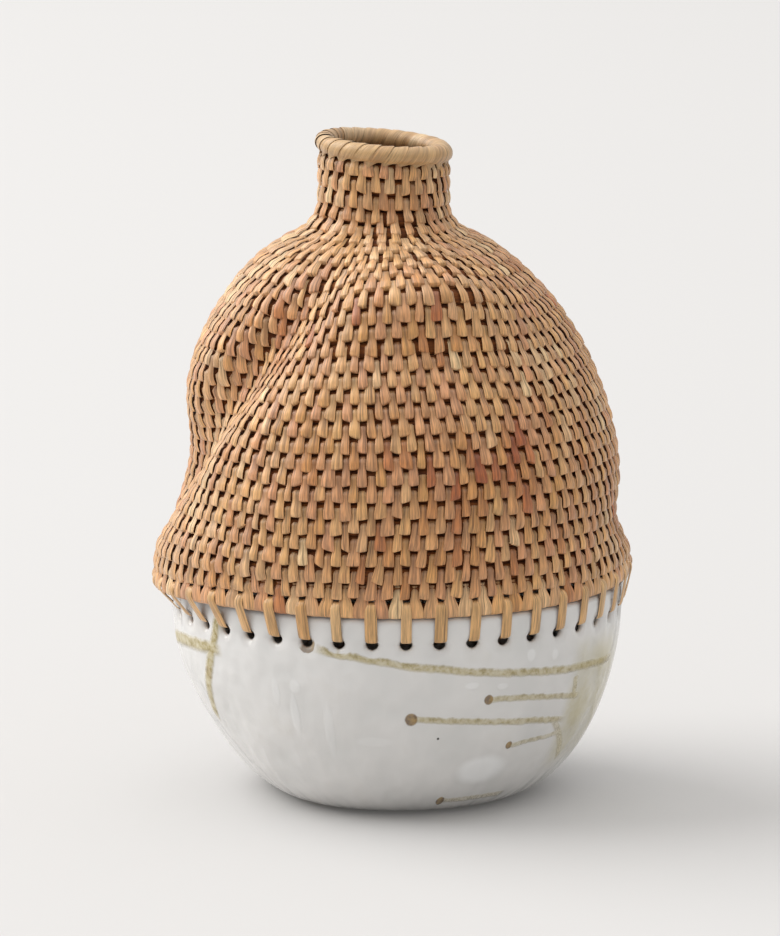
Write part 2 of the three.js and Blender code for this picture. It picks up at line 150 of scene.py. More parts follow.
# Outline of the basket before it was pushed out of round, evenly spaced
def basketOutline(count):
    t = np.linspace(0, 1, 60)
    edge = vase["rimRadius"] + vase["coilProud"]
    body = edge - vase["bodyTaper"]
    first = vase["bowlHeight"] + wallStart + vase["coilHeight"]
    bend = (first + bodyTop) / 2
    fillet = vase["neckFillet"]
    middle = vase["neckRadius"] + fillet
    ahead = np.array([math.cos(shoulderSlope), -math.sin(shoulderSlope)])
    end = np.array([middle - fillet * math.sin(shoulderSlope), shoulderTop])
    turn = mix(-math.pi / 2 - shoulderSlope, -math.pi, t)
    belly = (body, bodyTop + vase["bellyRise"])
    line = np.concatenate([
        np.stack([0 * t + edge, mix(vase["bowlHeight"], first, t)], -1),
        bezier((edge, first), (edge, bend), (body, bend), (body, bodyTop), t)[1:],
        bezier((body, bodyTop), belly, end + ahead * vase["shoulderLength"], end, t)[1:],
        np.stack([middle + fillet * np.cos(turn), neckRoot + fillet * np.sin(turn)], -1)[1:],
        np.stack([mix(vase["neckRadius"], vase["mouthRadius"], t * t), mix(neckRoot, mouthTop, t)], -1)[1:],
    ])
    length = np.concatenate([[0], np.cumsum(np.hypot(*np.diff(line, axis=0).T))])
    even = np.linspace(0, length[-1], count)
    return np.stack([np.interp(even, length, line[:, i]) for i in (0, 1)], -1)


# How far the rim coil has slid out over the bowl's lip, and down outside it
def rimMove(angle):
    shares = [np.exp(-((roundDistance(slide, angle) / slide["along"]) ** 2)) for slide in rimSlides]
    slid = sum(slide["slide"] * share for slide, share in zip(rimSlides, shares))
    fade = sum(slide["fade"] * share for slide, share in zip(rimSlides, shares)) / sum(shares)
    toEdge = vase["coilDepth"] / 2 - vase["coilProud"]
    sag = vase["rimRadius"] * (1 / math.cos(lacingStep / 2) - 1)
    above = vase["fit"] + vase["coilHeight"] / 2
    beside = vase["fit"] + vase["coilDepth"] / 2 + sag
    roll = math.pi / 4 * (above + beside)
    rolled = math.pi / 2 * np.clip((slid - toEdge) / roll, 0, 1)
    hung = np.maximum(slid - toEdge - roll, 0)
    out = np.minimum(slid, toEdge) + beside * np.sin(rolled)
    return out, above * (1 - np.cos(rolled)) + hung, fade


# Middle line of the coils at each angle: radius, height, outward radius and height, distance along
def coilLines(angles):
    outline = basketOutline(220)
    height = outline[None, :, 1]
    angle = angles[:, None]
    out, down, fade = rimMove(angle)
    belowNeck = 1 - smooth(height, neckRoot - vase["neckFade"], neckRoot + vase["neckFade"])
    lowest = vase["bowlHeight"] + wallStart
    aboveRim = smooth(height, lowest, lowest + vase["pushFade"])
    aboveCoil = np.maximum(height - vase["bowlHeight"] - vase["coilHeight"], 0)
    withEdge = np.exp(-((aboveCoil / fade) ** 4))
    r = outline[None, :, 0] + out * withEdge
    z = height - down * withEdge
    for push in basketPushes:
        share = belowNeck * aboveRim * pushShare(push, vase["bowlHeight"], angle, height)
        r = r + push["out"] * share
        z = z + push["lift"] * share
    dr, dz = np.gradient(r, axis=1), np.gradient(z, axis=1)
    size = np.hypot(dr, dz)
    outR, outZ = dz / size, -dr / size
    r = r - outR * vase["coilDepth"] / 2
    z = z - outZ * vase["coilDepth"] / 2
    steps = np.hypot(np.diff(r, axis=1), np.diff(z, axis=1))
    along = np.concatenate([np.zeros((len(angles), 1)), np.cumsum(steps, axis=1)], axis=1)
    return np.stack([r, z, outR, outZ], -1), along


# Table of the wall by angle and by row, with rows counted from the first round of the wall
table = {"angles": 720, "lowestRow": -1.16, "rowStep": 0.1}
wallAngles = np.arange(table["angles"]) * 2 * math.pi / table["angles"]
wallRows = np.arange(table["lowestRow"], vase["rounds"] + 1.05, table["rowStep"])
lines, alongs = coilLines(wallAngles)
spans = alongs[:, -1] - vase["mouthRingHeight"] - vase["fit"] + vase["coilGap"] / 2 - wallStart
pitches = spans / vase["rounds"]
mouthMiddles = alongs[:, -1] - vase["mouthRingHeight"] / 2


def lineAt(number, distance):
    return np.stack([np.interp(distance, alongs[number], lines[number, :, k]) for k in range(4)], -1)


wallTable = np.stack([lineAt(i, wallStart + wallRows * pitches[i]) for i in range(table["angles"])])
mouthTable = np.stack([lineAt(i, mouthMiddles[i]) for i in range(table["angles"])])


def angleShare(angle):
    at = (angle % (2 * math.pi)) / (2 * math.pi) * len(wallAngles)
    low = np.floor(at).astype(int) % len(wallAngles)
    return low, (low + 1) % len(wallAngles), at - np.floor(at)


def wallAt(angle, row):
    low, high, share = angleShare(angle)
    at = np.clip((row - wallRows[0]) / table["rowStep"], 0, len(wallRows) - 1.001)
    under = np.floor(at).astype(int)
    up = (at - under)[..., None]
    near = mix(wallTable[low, under], wallTable[low, under + 1], up)
    far = mix(wallTable[high, under], wallTable[high, under + 1], up)
    return mix(near, far, share[..., None])


# Point on the outside of the coils, raised by a lift
def skinPoint(angle, row, lift):
    wall = wallAt(angle, row)
    depth = vase["coilDepth"] / 2 + lift
    return place(wall[..., 0] + wall[..., 2] * depth, wall[..., 1] + wall[..., 3] * depth, angle)


def climbed(angle):
    share = ((angle - seamAngle) % (2 * math.pi)) / (2 * math.pi)
    return smooth(share, 1 - vase["climb"], 1)


print("surface of the basket laid out")


# Settings of nodes that are used again and again
eased = {"interpolation_type": "SMOOTHSTEP"}
times = {"operation": "MULTIPLY"}
timesPlus = {"operation": "MULTIPLY_ADD"}
plus = {"operation": "ADD"}
largest = {"operation": "MAXIMUM"}
mixed = {"data_type": "RGBA", "output": 2}  # the share is input 0, and the colours are 6 and 7


def linear(code):
    parts = [int(code[i:i + 2], 16) / 255 for i in (1, 3, 5)]
    return [c / 12.92 if c <= 0.04045 else ((c + 0.055) / 1.055) ** 2.4 for c in parts] + [1.0]


# Adds a node, whose inputs are values or links, by place or by name, and gives back one of its outputs
def addNode(tree, kind, inputs=(), output=0, stops=(), **settings):
    node = tree.nodes.new("ShaderNode" + kind)
    for name, value in settings.items():
        setattr(node, name, value)
    points = node.color_ramp.elements if stops else ()
    while len(points) < len(stops):
        points.new(0.5)
    for point, (at, code) in zip(points, stops):
        point.position = at
        point.color = linear(code)
    pairs = inputs.items() if isinstance(inputs, dict) else enumerate(inputs)
    for key, value in pairs:
        if isinstance(value, bpy.types.NodeSocket):
            tree.links.new(value, node.inputs[key])
        else:
            node.inputs[key].default_value = value
    return node.outputs[output] if len(node.outputs) else None


def newMaterial(name):
    material = bpy.data.materials.new(name)
    material.use_nodes = True
    tree = material.node_tree
    tree.nodes.clear()
    shader = addNode(tree, "BsdfPrincipled").node
    addNode(tree, "OutputMaterial", (shader.outputs["BSDF"],))
    return material, tree, shader


# Leaf, split into strips and dried: fibres run along the strip, each strip has its own tone, and the light
# gives it a dull sheen. Real fibres are finer, so these are drawn coarse enough to show. In millimetres.
leafGrain = {
    "broad": {"across": 1.6, "along": 18.0, "detail": 2.0, "rough": 0.5, "shift": (0.0, 0.0, 0.0)},
    "fibre": {"across": 0.85, "along": 16.0, "detail": 3.0, "rough": 0.65, "shift": (0.0, 0.0, 0.0)},
    "hair": {"across": 0.34, "along": 9.0, "detail": 2.0, "rough": 0.5, "shift": (0.0, 0.0, 0.0)},
    "split": {"across": 0.5, "along": 34.0, "detail": 1.0, "rough": 0.5, "shift": (7.3, 1.9, 0.0)},
}
toneJump = 173.0  # moves the grain along, so that no two strips have the same


def leafMaterial(name, values):
    material, tree, shader = newMaterial(name)
    uv = addNode(tree, "UVMap", uv_map="UVMap")
    tone = addNode(tree, "Attribute", output="Fac", attribute_name="leafTone")
    jump = addNode(tree, "Math", (tone, toneJump), **times)
    shifted = addNode(tree, "VectorMath", (uv, jump), **plus)
    grain = {}
    for kind, size in leafGrain.items():
        scale = (values["width"] / size["across"], values["length"] / size["along"], 1)
        spread = addNode(tree, "Mapping", {"Vector": shifted, "Scale": scale, "Location": size["shift"]})
        inputs = {"Vector": spread, "Scale": 1.0, "Detail": size["detail"], "Roughness": size["rough"]}
        grain[kind] = addNode(tree, "TexNoise", inputs, "Fac")
    base = addNode(tree, "ValToRGB", (tone,), stops=values["tones"])
    patch = addNode(tree, "MapRange", (grain["broad"], 0.35, 0.7, 0.0, values["patch"]), **eased)
    coloured = addNode(tree, "Mix", {0: patch, 6: base, 7: linear(values["stain"])}, **mixed)
    streaks = (grain["fibre"], 0.3, 0.72, values["streakDark"], values["streakLight"])
    level = addNode(tree, "MapRange", streaks, **eased)
    height = addNode(tree, "SeparateXYZ", (uv,), 1)
    # The last of these darkens each strip towards the end where it comes out from under its neighbours, as
    # painted shade
    darker = [
        (grain["hair"], 0.3, 0.7, 0.86, 1.1),
        (grain["split"], 0.64, 0.72, 1.0, values["slit"]),
        (height, values["shadeFrom"], 1.0, 1.0, values["shade"]),
    ]
    for part in darker:
        level = addNode(tree, "Math", (level, addNode(tree, "MapRange", part, **eased)), **times)
    grey = addNode(tree, "CombineColor", (level, level, level))
    colour = addNode(tree, "Mix", {0: 1.0, 6: coloured, 7: grey}, blend_type="MULTIPLY", **mixed)
    tree.links.new(colour, shader.inputs["Base Color"])
    dull = (grain["fibre"], 0.2, 0.8, values["roughLow"], values["roughHigh"])
    tree.links.new(addNode(tree, "MapRange", dull, **eased), shader.inputs["Roughness"])
    shader.inputs["Specular IOR Level"].default_value = values["gloss"]
    shader.inputs["Sheen Weight"].default_value = values["sheen"]
    relief = addNode(tree, "Math", (grain["hair"], 0.35, grain["fibre"]), **timesPlus)
    bump = addNode(tree, "Bump", {"Strength": 0.6, "Distance": values["relief"] * metre, "Height": relief})
    tree.links.new(bump, shader.inputs["Normal"])
    return material


# Dry grass in a bundle under the strips: dull brown straws, seen only as dark gaps
grassLook = {
    "straws": (160, 160, 900),  # to the metre: straws about 6 mm apart round the vase, 1 mm apart in height
    "tones": [(0.3, "#4a2104"), (0.55, "#6e3808"), (0.75, "#8c5012")],
    "roughness": 0.9,
    "relief": 0.4,
}


def grassMaterial():
    material, tree, shader = newMaterial("dry grass, bundled")
    where = addNode(tree, "TexCoord", output="Object")
    spread = addNode(tree, "Mapping", {"Vector": where, "Scale": grassLook["straws"]})
    inputs = {"Vector": spread, "Scale": 1.0, "Detail": 3.0, "Roughness": 0.5}
    straw = addNode(tree, "TexNoise", inputs, "Fac")
    colour = addNode(tree, "ValToRGB", (straw,), stops=grassLook["tones"])
    tree.links.new(colour, shader.inputs["Base Color"])
    shader.inputs["Roughness"].default_value = grassLook["roughness"]
    bump = addNode(tree, "Bump", {"Strength": 0.5, "Distance": grassLook["relief"] * metre, "Height": straw})
    tree.links.new(bump, shader.inputs["Normal"])
    return material


# Pieces made of copies of one grid

def copiesOfGrid(name, columns, rows, count):
    bm = bmesh.new()
    bm.loops.layers.uv.new("UVMap")
    bmesh.ops.create_grid(bm, x_segments=columns, y_segments=rows, size=0.5, calc_uvs=True)
    mesh = bpy.data.meshes.new(name)
    bm.to_mesh(mesh)
    bm.free()
    flat = np.zeros(len(mesh.vertices) * 3)
    mesh.vertices.foreach_get("co", flat)
    plan = flat.reshape(-1, 3)
    if count > 1:
        source = bpy.data.objects.new(name + "_source", mesh)
        bpy.context.scene.collection.objects.link(source)
        array = source.modifiers.new("copies", "ARRAY")
        array.count = count
        array.use_relative_offset = False
        joined = bpy.data.meshes.new_from_object(source.evaluated_get(bpy.context.evaluated_depsgraph_get()))
        bpy.data.objects.remove(source)
        bpy.data.meshes.remove(mesh)
        joined.name = name
        mesh = joined
    return mesh, plan[:, 0] * 2, 0.5 - plan[:, 1]


def addPiece(mesh, points, material, nodes=()):
    mesh.vertices.foreach_set("co", np.ascontiguousarray(points, dtype=np.float32).ravel())
    mesh.materials.clear()
    mesh.materials.append(material)
    mesh.shade_smooth()
    mesh.update()
    piece = bpy.data.objects.new(mesh.name, mesh)
    bpy.context.scene.collection.objects.link(piece)
    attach(piece, "root")
    if nodes:
        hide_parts(*nodes)
    return piece


def setTone(mesh, tones, perCopy):
    attribute = mesh.attributes.new("leafTone", "FLOAT", "POINT")
    attribute.data.foreach_set("value", np.repeat(tones, perCopy).astype(np.float32))


def closeTube(piece):
    bm = bmesh.new()
    bm.from_mesh(piece.data)
    bmesh.ops.remove_doubles(bm, verts=bm.verts, dist=1e-6)
    bmesh.ops.recalc_face_normals(bm, faces=bm.faces)
    bm.to_mesh(piece.data)
    bm.free()


# Grass coils under the stitches
coilValues = {
    "stepsPerTurn": 72,
    "rimSteps": 168,
    "sides": 12,
    "ends": (0, 8, 15, 23, 30),
    "splice": 2 / 24,
    "tip": 2 / 24,
    "skin": 1.2,
    "press": 0.35,
}
zoneNames = ["lower_wall", "upper_wall", "shoulder", "neck"]
grass = grassMaterial()


def coilPiece(zone):
    first, last = coilValues["ends"][zone], coilValues["ends"][zone + 1]
    start = first + coilValues["splice"] if zone else coilValues["tip"] - vase["climb"]
    end = last + coilValues["splice"] if zone < 3 else last - coilValues["tip"]
    steps = round((end - start) * coilValues["stepsPerTurn"])
    mesh, u, v = copiesOfGrid(zoneNames[zone] + "_grass", coilValues["sides"], steps, 1)
    turn = mix(start, end, v)
    around = u * math.pi
    angle = seamAngle + 2 * math.pi * turn
    low, high, share = angleShare(angle)
    pitch = mix(pitches[low], pitches[high], share)
    spare = pitch - vase["coilHeight"]
    rise = smooth(turn - np.floor(turn), 1 - vase["climb"], 1)
    tall = pitch + coilValues["press"]
    middle = np.floor(turn) + rise + 0.5
    opening = turn < 0
    tall = np.where(opening, np.maximum(rise * pitch - spare, vase["tipHeight"]), tall)
    middle = np.where(opening, (spare + tall) / 2 / pitch, middle)
    closing = turn > vase["rounds"] - vase["climb"]
    tall = np.where(closing, np.maximum((1 - rise) * pitch - spare, vase["tipHeight"]), tall)
    middle = np.where(closing, vase["rounds"] - (spare + tall) / 2 / pitch, middle)
    full = np.minimum(tall / vase["coilHeight"], 1)
    deep = mix(vase["tipDepth"], vase["coilDepth"], full) - coilValues["skin"]
    wall = wallAt(angle, middle)
    outward = deep / 2 * np.cos(around) - coilValues["skin"] / 2
    upward = tall / 2 * np.sin(around)
    radius = wall[:, 0] + wall[:, 2] * outward - wall[:, 3] * upward
    height = wall[:, 1] + wall[:, 3] * outward + wall[:, 2] * upward
    node = zoneNames[zone] + "_coil"
    closeTube(addPiece(mesh, place(radius, height, angle), grass, [node]))


for zone in range(4):
    coilPiece(zone)


def rimCoilPiece():
    mesh, u, v = copiesOfGrid("rim_grass", coilValues["sides"], coilValues["rimSteps"], 1)
    angle, around = v * 2 * math.pi, u * math.pi
    out, down = rimMove(angle)[:2]
    middle = vase["rimRadius"] + vase["coilProud"] - vase["coilDepth"] / 2 + out
    skin = coilValues["skin"]
    radius = middle + (vase["coilDepth"] - skin) / 2 * np.cos(around) - skin / 2
    height = rimMiddle - down + vase["coilHeight"] / 2 * np.sin(around)
    closeTube(addPiece(mesh, place(radius, height, angle), grass, ["rim_coil"]))


rimCoilPiece()
print("grass coils wound")

# Stitches: each leaf strip spans two rows, and each row's strips stand between those of the row below.
# In millimetres, but shares are of the room between two strips, and rows are counted as rounds of the coil.
stitch = {
    "width": 4.5,
    "length": 14.0,
    "topShare": 0.25,
    "endShare": 0.315,
    "bridge": 0.35,
    "sink": 1.6,
    "tuck": 0.5,
    "puff": 0.4,
    "curl": 1.9,
    "least": 6.1,
    "wanted": 6.9,
    "lean": 0.7,
    "neckRow": 23.5,
    "neckLift": 0.45,
    "topRows": 1.9,  # where a strip starts, in rows over the row it belongs to
    "lastTopRows": 1.3,
    "endRows": 0.06,
    "crown": 0.12,
    "edge": 0.38,
    "tone": 0.55,
    "toneSpread": 0.16,
    "toneDrift": 0.06,
    "paleNeck": 0.14,
    "leanSpread": 0.5,
    "sizeSpread": 0.12,
    "liftSpread": 0.12,
    "endSpread": 0.05,
    "asideSpread": 0.25,
    "slopeSpread": 0.06,
    "leastRadius": 10.0,
}
leafTones = [
    (0.0, "#a55526"),
    (0.12, "#bd7442"),
    (0.3, "#d19a59"),
    (0.45, "#d3986b"),
    (0.6, "#dba86a"),
    (0.8, "#dcab79"),
    (1.0, "#efcb96"),
]
stitchLook = {
    "width": stitch["width"],
    "length": stitch["length"],
    "tones": leafTones,
    "stain": "#b97443",
    "patch": 0.3,
    "streakDark": 0.6,
    "streakLight": 1.42,
    "slit": 0.45,
    # shadeFrom and shade: painted shade, darker towards the end of a strip that lies under its neighbours
    "shadeFrom": 0.42,
    "shade": 0.66,
    "roughLow": 0.55,
    "roughHigh": 0.36,
    "gloss": 0.7,
    "sheen": 0.18,
    "relief": 0.32,
}
leaf = leafMaterial("leaf strip, split and stitched", stitchLook)

# Places of redder leaf, which are stains, and of paler leaf, which is painted light: angle, row, reach in
# degrees and rows, how much darker the tone is
stainsAndPaintedLight = [
    {"angle": -50, "row": 16.5, "wide": 15, "tall": 2.2, "depth": 0.42},
    {"angle": -7, "row": 17, "wide": 9, "tall": 1.5, "depth": 0.3},
    {"angle": 5, "row": 7.3, "wide": 18, "tall": 1.2, "depth": 0.24},
    {"angle": 36, "row": 8, "wide": 9, "tall": 2.0, "depth": 0.3},
    {"angle": 17, "row": 5, "wide": 3, "tall": 2.4, "depth": 0.42},
    {"angle": 150, "row": 11, "wide": 14, "tall": 2.0, "depth": 0.4},
    {"angle": -140, "row": 14, "wide": 12, "tall": 1.8, "depth": 0.4},
    {"angle": 5, "row": 5, "wide": 32, "tall": 6, "depth": 0.15},
    # The next three are painted light: paler low and high on the lit left, and in the middle of the shaded
    # right
    {"angle": -70, "row": 4, "wide": 26, "tall": 6, "depth": -0.22},  # below zero, so paler
    {"angle": -78, "row": 19, "wide": 28, "tall": 5, "depth": -0.26},
    {"angle": 58, "row": 12, "wide": 20, "tall": 5, "depth": -0.16},
]


def nextRow(angles, row):
    gaps = np.roll(angles, -1) - angles
    gaps[-1] += 2 * math.pi
    middles = angles + gaps / 2
    radius = wallAt(middles, np.full_like(middles, row))[:, 0]
    total = float(np.sum(gaps * radius))
    if total / len(angles) < stitch["least"]:
        drop = len(angles) - round(total / stitch["wanted"])
        picks = (np.arange(drop) + dice.random(drop) * 0.8) * len(angles) / max(drop, 1)
        middles = np.delete(middles, np.unique(picks.astype(int)))
        for _ in range(10):
            before, after = np.roll(middles, 1), np.roll(middles, -1)
            before[0] -= 2 * math.pi
            after[-1] += 2 * math.pi
            middles = mix(middles, (before + after) / 2, 0.5)
    return middles


firstRow = math.radians(vase["lacingPhase"]) + np.arange(2 * vase["lacingCount"]) * lacingStep / 2
rowAngles = [firstRow]
for row in range(1, vase["rounds"]):
    rowAngles.append(nextRow(rowAngles[-1], row))
print("stitches in the rows:", [len(angles) for angles in rowAngles])


def rowGaps(angles, row):
    around = np.roll(angles, -1) - np.roll(angles, 1)
    around[0] += 2 * math.pi
    around[-1] += 2 * math.pi
    return around / 2 * wallAt(angles, np.full_like(angles, row + 0.5))[:, 0]


# Slow change over the basket, for leaning strips and for patches of redder leaf
def drift(angle, row, seed):
    broad = np.sin(2 * angle + seed) * np.sin(row * 0.41 + 1.7 * seed)
    return broad + 0.6 * np.sin(5 * angle - row * 0.3 + 3 * seed)


# Angle, row and room of every stitch in some rows
def stitchPlaces(rows):
    angle = np.concatenate([rowAngles[k] for k in rows])
    row = np.concatenate([np.full(len(rowAngles[k]), k) for k in rows]).astype(float)
    return angle, row, np.concatenate([rowGaps(rowAngles[k], k) for k in rows])


def stitchTones(angle, row):
    tones = dice.normal(stitch["tone"], stitch["toneSpread"], len(angle))
    tones = tones - stitch["toneDrift"] * drift(angle, row, 2.0) + stitch["paleNeck"] * smooth(row, 19, 24)
    for spot in stainsAndPaintedLight:
        turn = (np.degrees(angle) - spot["angle"] + 180) % 360 - 180
        around, up = turn / spot["wide"], (row - spot["row"]) / spot["tall"]
        tones = tones - spot["depth"] * np.exp(-(around ** 2) - up ** 2)
    return np.clip(tones, 0, 1)


def stitchPiece(name, rows):
    angle, row, gap = stitchPlaces(rows)
    count = len(angle)
    mesh, u, s = copiesOfGrid(name, 4, 11, count)
    tones = stitchTones(angle, row)
    lean = stitch["lean"] * (0.4 + drift(angle, row, 0.6)) + dice.normal(0, stitch["leanSpread"], count)
    size = dice.normal(1, stitch["sizeSpread"], count)
    raised = dice.normal(0, stitch["liftSpread"], count)
    longer = dice.normal(0, stitch["endSpread"], count)
    aside = dice.normal(0, stitch["asideSpread"], count)
    slope = dice.normal(0, stitch["slopeSpread"], count)
    s = (1 - (1 - s) ** 1.5)[None, :]
    u = (np.sign(u) * np.abs(u) ** 0.55)[None, :]
    top = np.where(row == vase["rounds"] - 1, stitch["lastTopRows"], stitch["topRows"])
    roundEnd = 0.02 * np.abs(u) ** 3 * smooth(s, 0.8, 1)
    up = mix(top[:, None], stitch["endRows"] + longer[:, None], s - roundEnd)
    up = up + slope[:, None] * u * smooth(s, 0.6, 1)
    half = mix(stitch["topShare"], stitch["endShare"], smooth(s, 0.3, 0.85))
    half = (gap * size)[:, None] * half
    bump = np.sin(math.pi * (up % 1)) ** 2
    lift = raised[:, None] - stitch["bridge"] * (1 - bump)
    tuck = stitch["tuck"] - stitch["neckLift"] * np.exp(-(((row - stitch["neckRow"]) / 2) ** 2))
    lift = lift - stitch["sink"] * (1 - smooth(s, 0, 0.14)) - tuck[:, None] * (1 - smooth(s, 0.3, 0.55))
    lift = lift + stitch["puff"] * smooth(s, 0.4, 0.8) - stitch["curl"] * smooth(s, 0.972, 1.0)
    lift = lift - stitch["crown"] * u ** 2 - stitch["edge"] * smooth(np.abs(u), 0.7, 1.0)
    level = row[:, None] + climbed(angle)[:, None] + up
    across = u * half + (lean[:, None] * (0.5 - s)) + aside[:, None]
    radius = wallAt(np.broadcast_to(angle[:, None], level.shape), level)[..., 0]
    radius = np.maximum(radius, stitch["leastRadius"])
    turned = angle[:, None] + across / radius
    setTone(mesh, tones, u.shape[1])
    addPiece(mesh, skinPoint(turned, level, lift), leaf)


for zone in range(4):
    stitchPiece(zoneNames[zone] + "_stitches", range(*coilValues["ends"][zone:zone + 2]))


# Backs of the stitches inside the neck and the shoulder, each one slanting over a single row
innerStitch = {
    "rows": range(19, 30),
    "half": 0.44,
    "spread": 0.08,
    "slant": 3.0,
    "lift": 0.1,
    "sink": 0.9,
    "crown": 0.4,
    "overlap": 0.02,
    "tone": 0.5,
}


def innerStitches():
    angle, row, gap = stitchPlaces(innerStitch["rows"])
    count = len(angle)
    mesh, u, s = copiesOfGrid("inner_stitches", 3, 6, count)
    u, s = -u[None, :], s[None, :]
    up = mix(1 + innerStitch["overlap"], -innerStitch["overlap"], s)
    half = innerStitch["half"] * gap[:, None] * dice.normal(1, innerStitch["spread"], count)[:, None]
    lift = innerStitch["lift"] - innerStitch["sink"] * (2 * up - 1) ** 2 - innerStitch["crown"] * u ** 2
    level = row[:, None] + climbed(angle)[:, None] + up
    radius = wallAt(np.broadcast_to(angle[:, None], level.shape), level)[..., 0]
    across = u * half + innerStitch["slant"] * (s - 0.5)
    turned = angle[:, None] + across / np.maximum(radius, stitch["leastRadius"])
    tones = dice.normal(innerStitch["tone"], stitch["toneSpread"], count)
    setTone(mesh, np.clip(tones, 0, 1), u.shape[1])
    depth = -vase["coilDepth"] - np.broadcast_to(lift, level.shape)
    addPiece(mesh, skinPoint(turned, level, depth), leaf)


innerStitches()


# Broad strips round the rim coil, between the straps of the lacing
rimStrip = {
    "topRow": 0.93,
    "endRow": -1.16,
    "topHalf": 1.9,
    "endHalf": 3.45,
    "spread": 0.05,
    "hollow": 0.6,
    "sink": 1.6,
    "puff": 0.45,
    "curl": 2.2,
    "crown": 0.2,
    "edge": 0.45,
    "aside": 0.55,
    "tone": 0.58,
    "toneSpread": 0.2,
}


def rimStrips():
    angle = firstRow + lacingStep / 4
    count = len(angle)
    mesh, u, s = copiesOfGrid("rim_strips", 4, 14, count)
    tones = np.clip(dice.normal(rimStrip["tone"], rimStrip["toneSpread"], count), 0, 1)
    fromStrap = np.where(np.arange(count) % 2 == 0, 1.0, -1.0)
    u, s = u[None, :], s[None, :]
    level = mix(rimStrip["topRow"] + climbed(angle)[:, None], rimStrip["endRow"], s)
    onRim = np.clip(-0.1 - level, 0, 1)
    overRim = np.sin(math.pi * np.clip(onRim * 0.9 + 0.08, 0, 1)) ** 0.7
    bump = np.where(level > 0, np.sin(math.pi * (level % 1)) ** 2, overRim)
    half = mix(rimStrip["topHalf"], rimStrip["endHalf"], smooth(s, 0.2, 0.75))
    half = half * dice.normal(1, rimStrip["spread"], count)[:, None]
    lift = -rimStrip["hollow"] * (1 - bump) - rimStrip["sink"] * (1 - smooth(s, 0, 0.3))
    lift = lift + rimStrip["puff"] * smooth(s, 0.35, 0.75) - rimStrip["curl"] * smooth(s, 0.93, 1.0)
    lift = lift - rimStrip["crown"] * u ** 2 - rimStrip["edge"] * smooth(np.abs(u), 0.75, 1.0)
    across = u * half + rimStrip["aside"] * fromStrap[:, None] * smooth(s, 0.3, 0.8)
    radius = wallAt(np.broadcast_to(angle[:, None], across.shape), level)[..., 0]
    setTone(mesh, tones, u.shape[1])
    addPiece(mesh, skinPoint(angle[:, None] + across / radius, level, lift), leaf)


rimStrips()
print("stitches laid")

# Straps of the lacing, from the groove over the rim coil down into the holes of the bowl
lacing = {
    "width": 5.2,
    "spread": 0.7,
    "least": 4.2,
    "most": 6.8,
    "startShare": 0.82,
    "endHalf": 1.9,
    "thickness": 0.9,
    "crown": 0.35,
    "startTurn": 88.0,
    "startTuck": (0.8, 0.3),
    "intoHole": [(0.7, 2.4), (-0.1, 1.2), (-1.8, 0.7), (-4.5, 0.6)],  # out from the wall, up from the hole
    "aside": 0.25,
    "tone": 0.62,
    "toneSpread": 0.14,
    "bowlFoot": 50.0,
}
lacingLook = dict(stitchLook, width=5.0, length=24.0, patch=0.2, stain="#a87a4a", streakDark=0.7)
lacingLook.update(shade=0.75, shadeFrom=0.85)
lacingLook["tones"] = [(0.0, "#bf8a50"), (0.4, "#d2a266"), (0.7, "#d9ab72"), (1.0, "#e8c692")]
lacingLeaf = leafMaterial("leaf strip, laced", lacingLook)


def bowlOutside(height):
    below = (vase["bowlHeight"] - height) / vase["bowlHeight"]
    wider = vase["rimRadius"] - lacing["bowlFoot"]
    return lacing["bowlFoot"] + wider * np.sqrt(np.clip(1 - below ** 2, 0, 1))


def strapLine(angle):
    out, down = rimMove(angle)[:2]
    r = vase["rimRadius"] + vase["coilProud"] - vase["coilDepth"] / 2 + out
    z = rimMiddle - down
    reach = vase["coilDepth"] / 2 + lacing["thickness"]
    end = np.array(lacing["intoHole"]) + (bowlOutside(holeHeight), holeHeight)
    toward = end[0] - (r, z)
    leave = math.atan2(toward[1], toward[0]) + math.acos(min(reach / math.hypot(*toward), 1))
    arc = np.linspace(math.radians(lacing["startTurn"]), leave, 7)
    lap = np.stack([r + reach * np.cos(arc), z + reach * np.sin(arc)], -1)
    lap[0] -= lacing["startTuck"]
    line = np.concatenate([lap, end])
    for _ in range(2):
        ends = line[:1], line[-1:]
        inner = np.stack([mix(line[:-1], line[1:], 0.25), mix(line[:-1], line[1:], 0.75)], 1).reshape(-1, 2)
        line = np.concatenate([ends[0], inner, ends[1]])
    length = np.concatenate([[0], np.cumsum(np.hypot(*np.diff(line, axis=0).T))])
    return line, length / length[-1]


def straps():
    count = len(lacingAngles)
    mesh, u, s = copiesOfGrid("lacing_straps", 6, 22, count)
    tones = np.clip(dice.normal(lacing["tone"], lacing["toneSpread"], count), 0, 1)
    points = []
    for angle in lacingAngles:
        line, share = strapLine(angle)
        r, z = np.interp(s, share, line[:, 0]), np.interp(s, share, line[:, 1])
        wide = dice.normal(lacing["width"], lacing["spread"])
        wide = np.clip(wide, lacing["least"], lacing["most"]) / 2
        half = mix(wide * lacing["startShare"], wide, smooth(s, 0.1, 0.45))
        half = mix(half, lacing["endHalf"], smooth(s, 0.8, 0.9))
        r = r + lacing["crown"] * (1 - u ** 2 - smooth(np.abs(u), 0.8, 1))
        across = u * half + dice.normal(0, lacing["aside"]) * (1 - s)
        points.append(place(r, z, angle + across / r))
    setTone(mesh, tones, len(u))
    nodes = ["lacing_%02d" % (i + 1) for i in range(count)]
    addPiece(mesh, np.concatenate(points), lacingLeaf, nodes)


straps()
print("lacing laid")

